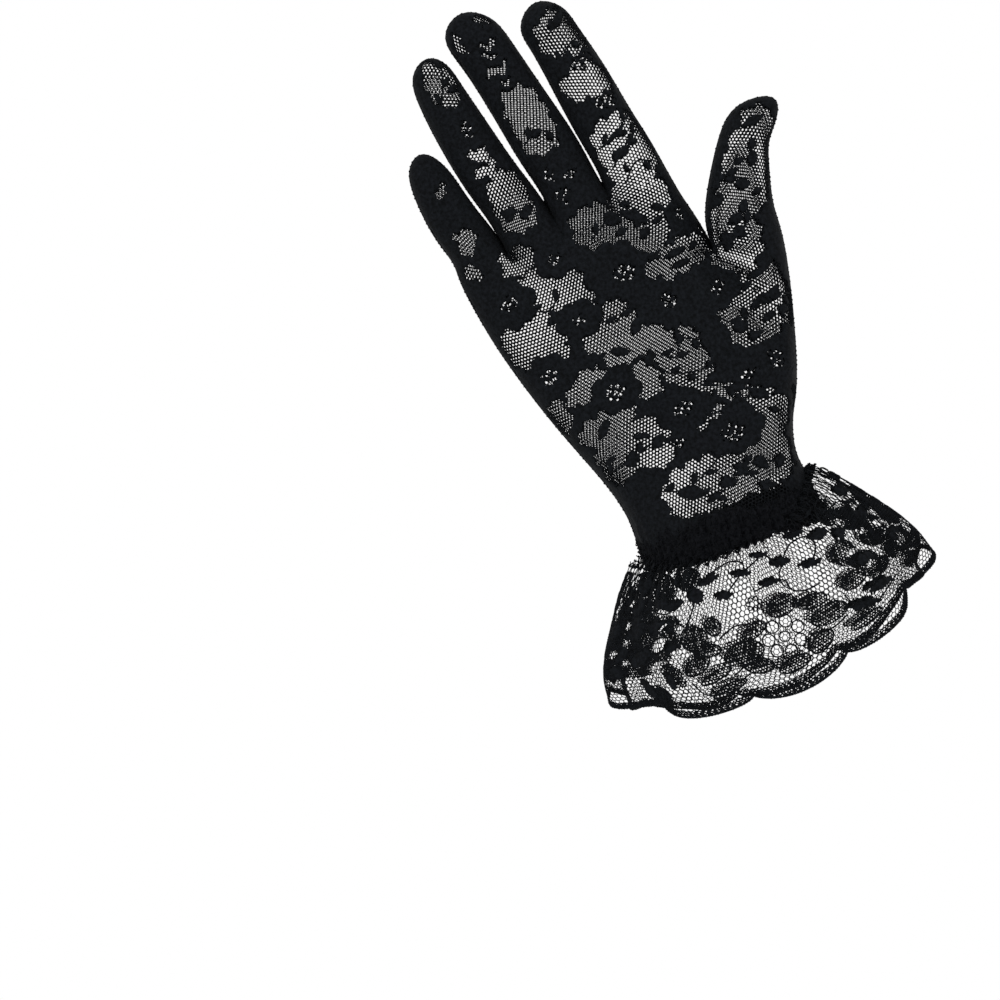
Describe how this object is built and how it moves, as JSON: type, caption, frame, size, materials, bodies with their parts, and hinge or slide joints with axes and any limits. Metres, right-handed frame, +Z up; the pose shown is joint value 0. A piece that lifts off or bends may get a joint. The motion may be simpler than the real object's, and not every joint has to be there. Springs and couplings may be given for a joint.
{
  "type": "mesh glove",
  "caption": "Sheer floral lace mesh glove in its worn form, hollow inside, with a gathered elastic wrist and a flared ruffle cuff that has a scalloped hem.",
  "frame": {"origin": "centre of the wrist opening inside the gathered band", "axes": "+Z up the palm towards the fingers, -Y out of the palm side, +X towards the thumb"},
  "size_m": [0.1359, 0.0706, 0.2445],
  "materials": {
    "lace": "black floral lace mesh, knitted hexagonal net with solid petals and leaves",
    "gathered_band": "black ruched lace over elastic, dense and matt",
    "hem_cord": "black corded edging, matt"
  },
  "bodies": {
    "root": {"palm_panel": "lace", "back_panel": "lace", "thumb": "lace", "index_finger": "lace", "middle_finger": "lace", "ring_finger": "lace", "little_finger": "lace", "wrist_band": "gathered_band", "cuff_ruffle": "lace", "cuff_hem": "hem_cord"}
  },
  "joints": []
}
